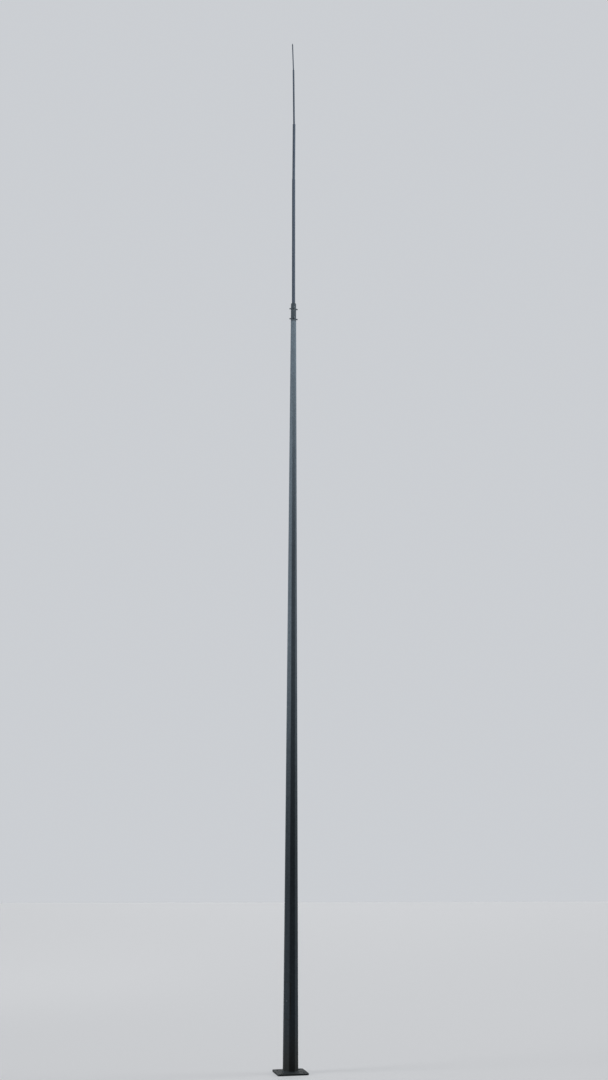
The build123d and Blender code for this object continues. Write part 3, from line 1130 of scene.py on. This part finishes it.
class MAST_OT_head_weld(bpy.types.Operator):
    """Make the weld that holds the head ring in the pole's mouth"""

    bl_idname = "mast.head_weld"
    bl_label = "Head weld"

    def execute(self, context):
        _, ring_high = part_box("head_ring")
        base = level_frame(ring_high.z)
        radius = BEND_RADIUS - WALL
        corners = polygon_corners(FACETS, HEAD_APOTHEM - WALL - radius, pi / FACETS)
        bead = closed_bead(
            base, corners, radius, legs=(0.0032, 0.0017), bulge=0.0003, pitch=0.0024, seed=41,
            inward=True,
        )
        make_piece("head_ring_bead", bead, "Weld Zinc")
        return {"FINISHED"}


# Suns: turn from the camera to the right, height over the horizon, strength and spread
SUNS = {
    "key": (-75.0, 14.0, 1.9, 20.0),
    "side": (100.0, 16.0, 1.7, 20.0),
    "rear": (178.0, 20.0, 0.9, 40.0),
}

# Spots: turn, distance and height, dip below level, power, width of the cone and its softness
SPOTS = {
    "left": (-65.0, 12.0, 8.0, 0.0, 2400.0, 60.0, 1.0),
    "upper": (42.0, 8.0, 13.0, 14.0, 4200.0, 62.0, 0.8),
}


def add_lamp(name, kind, aim, place=(0.0, 0.0, 0.0), **settings):
    """A lamp of a kind, turned to aim, with its place and settings."""
    data = bpy.data.lights.new(name, kind)
    for setting, value in settings.items():
        setattr(data, setting, value)
    lamp = add_object(name, data)
    lamp.location = place
    lamp.rotation_euler = aim
    return lamp


class MAST_OT_stage(bpy.types.Operator):
    """Lay the pale floor and set the soft lights and the background"""

    bl_idname = "mast.stage"
    bl_label = "Floor and lights"

    def execute(self, context):
        look = context.scene.mast_finish
        reach = 150.0
        sink = 0.0005
        floor_rough = 0.9
        floor_gloss = 0.1
        floor_glow = 0.62
        sky_blue = 1.03
        lamp_radius = 1.0
        mesh = bpy.data.meshes.new("floor")
        square = [(-reach, -reach), (reach, -reach), (reach, reach), (-reach, reach)]
        mesh.from_pydata([(x, y, -sink) for x, y in square], [], [(0, 1, 2, 3)])
        material = bpy.data.materials.new("Floor")
        material.use_nodes = True
        tree = material.node_tree
        shader = tree.nodes["Principled BSDF"]
        shader.inputs["Base Color"].default_value = opaque(look.floor_colour)
        shader.inputs["Roughness"].default_value = floor_rough
        shader.inputs["Specular IOR Level"].default_value = floor_gloss
        wiring = Wiring(tree)
        seen = shown_rays(wiring)
        shader.inputs["Emission Color"].default_value = opaque(look.background_colour)
        tree.links.new(wiring.times(seen, floor_glow), shader.inputs["Emission Strength"])
        mesh.materials.append(material)
        add_object("floor", mesh)

        world = bpy.data.worlds.new("Studio")
        world.use_nodes = True
        context.scene.world = world
        tree = world.node_tree
        wiring = Wiring(tree)
        shown = shown_rays(wiring)
        dim = (look.sky_light, look.sky_light, look.sky_light * sky_blue, 1.0)
        colour = wiring.blend(shown, dim, opaque(look.background_colour))
        tree.links.new(colour, tree.nodes["Background"].inputs["Color"])

        side = context.scene.mast_sizes.camera_side
        for name, (turn, height, strength, spread) in SUNS.items():
            aim = (pi / 2 - radians(height), 0.0, radians(turn) - side)
            add_lamp(name, "SUN", aim, energy=strength, angle=radians(spread))
        for name, (turn, distance, height, dip, power, width, blend) in SPOTS.items():
            heading = side - radians(turn)
            place = (-distance * sin(heading), -distance * cos(heading), height)
            lamp = add_lamp(
                name, "SPOT", (pi / 2 - radians(dip), 0.0, -heading), place, energy=power,
                spot_size=radians(width), spot_blend=blend, shadow_soft_size=lamp_radius,
            )
            lamp.visible_camera = False
        context.scene.view_settings.view_transform = "Standard"
        return {"FINISHED"}


class MAST_PT_panel(bpy.types.Panel):
    """Lists the steps that dress the mast"""

    bl_idname = "MAST_PT_panel"
    bl_label = "Lightning Rod Mast"
    bl_space_type = "VIEW_3D"
    bl_region_type = "UI"
    bl_category = "Mast"

    def draw(self, context):
        for step in STEPS:
            self.layout.operator(step.bl_idname)
        for group in (context.scene.mast_sizes, context.scene.mast_finish):
            column = self.layout.column()
            for name in group.__annotations__:
                column.prop(group, name)


STEPS = (
    MAST_OT_camera, MAST_OT_steelwork, MAST_OT_foot_weld, MAST_OT_seam, MAST_OT_lug_weld,
    MAST_OT_clamp_nuts, MAST_OT_clamp_bolts, MAST_OT_receiver_welds, MAST_OT_head_weld,
    MAST_OT_stage,
)
CLASSES = (MastSizes, MastFinish) + STEPS + (MAST_PT_panel,)


def register():
    """Registers the classes and gives the scene its sizes and finishes."""
    for item in CLASSES:
        bpy.utils.register_class(item)
    bpy.types.Scene.mast_sizes = PointerProperty(type=MastSizes)
    bpy.types.Scene.mast_finish = PointerProperty(type=MastFinish)


def unregister():
    """Takes the sizes, the finishes and the classes away again."""
    del bpy.types.Scene.mast_finish
    del bpy.types.Scene.mast_sizes
    for item in reversed(CLASSES):
        bpy.utils.unregister_class(item)


def main():
    """Makes the camera, the mast's finishes and pieces and the stage."""
    register()
    bpy.ops.mast.camera()
    bpy.ops.mast.steelwork()
    bpy.ops.mast.foot_weld()
    bpy.ops.mast.seam()
    bpy.ops.mast.lug_weld()
    bpy.ops.mast.clamp_nuts()
    bpy.ops.mast.clamp_bolts()
    bpy.ops.mast.receiver_welds()
    bpy.ops.mast.head_weld()
    bpy.ops.mast.stage()


if __name__ == "__main__":
    main()
